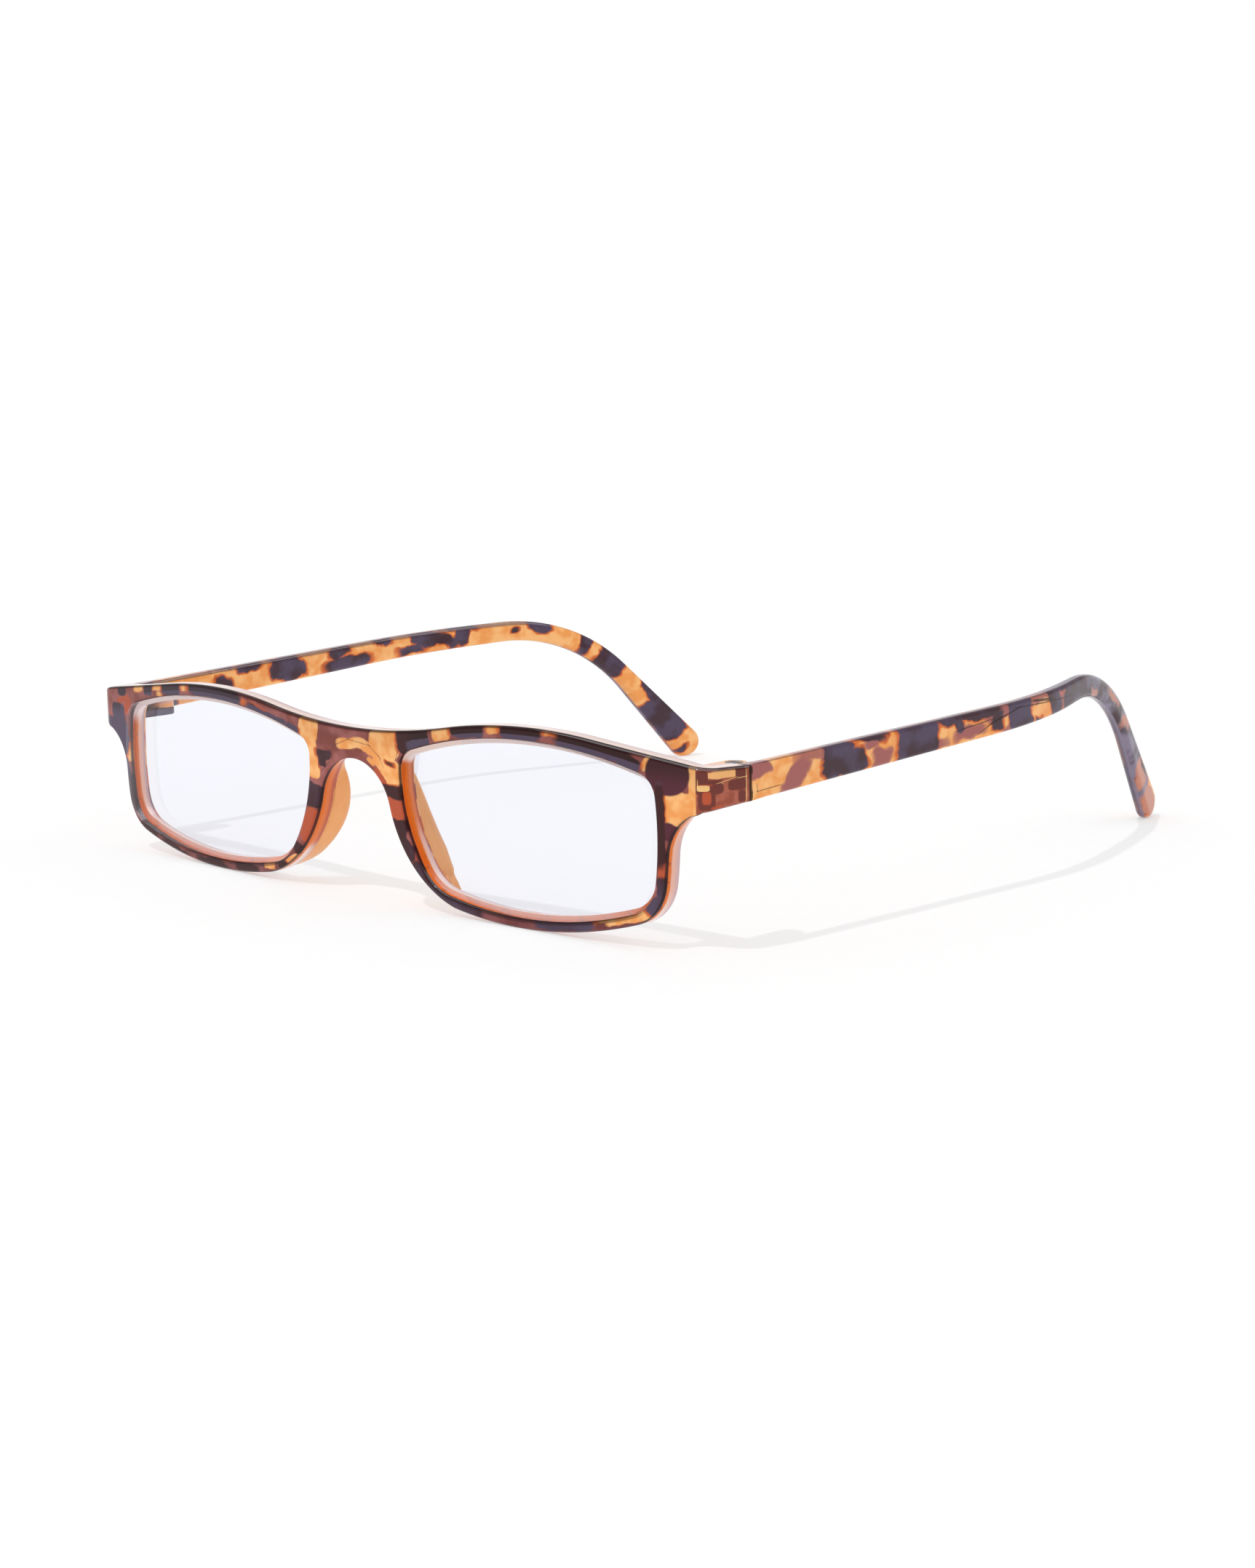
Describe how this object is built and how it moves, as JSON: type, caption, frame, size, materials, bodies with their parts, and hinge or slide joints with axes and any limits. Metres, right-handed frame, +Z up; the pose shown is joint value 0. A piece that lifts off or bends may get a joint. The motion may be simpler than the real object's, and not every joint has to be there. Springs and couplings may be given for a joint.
{
  "type": "reading glasses",
  "caption": "Slim rectangular full-rim reading glasses in tortoise-print plastic, with integral nose pads and folding temples.",
  "frame": {"origin": "on the floor, under the middle of the bounding box", "axes": "+Z up, +X across to the right temple as seen from the front, -Y the way the wearer looks"},
  "size_m": [0.1388, 0.1261, 0.0281],
  "materials": {
    "tortoise_front": "glossy amber with dark brown mottling",
    "tortoise_temple": "glossy amber with dark brown mottling",
    "lens": "clear, polished",
    "screw_steel": "bright"
  },
  "bodies": {
    "front": {"front_frame": "tortoise_front", "lens_left": "lens", "lens_right": "lens", "hinge_screw_left": "screw_steel", "hinge_screw_right": "screw_steel"},
    "temple_left": {"temple_left": "tortoise_temple"},
    "temple_right": {"temple_right": "tortoise_temple"}
  },
  "joints": [
    {"name": "hinge_right", "type": "hinge", "parent": "front", "child": "temple_right", "pos_m": [0.0634, -0.05009, 0.022], "axis": [0, 0, 1], "range_deg": [0, 85]},
    {"name": "hinge_left", "type": "hinge", "parent": "front", "child": "temple_left", "pos_m": [-0.0634, -0.05009, 0.022], "axis": [0, 0, -1], "range_deg": [0, 77]}
  ]
}
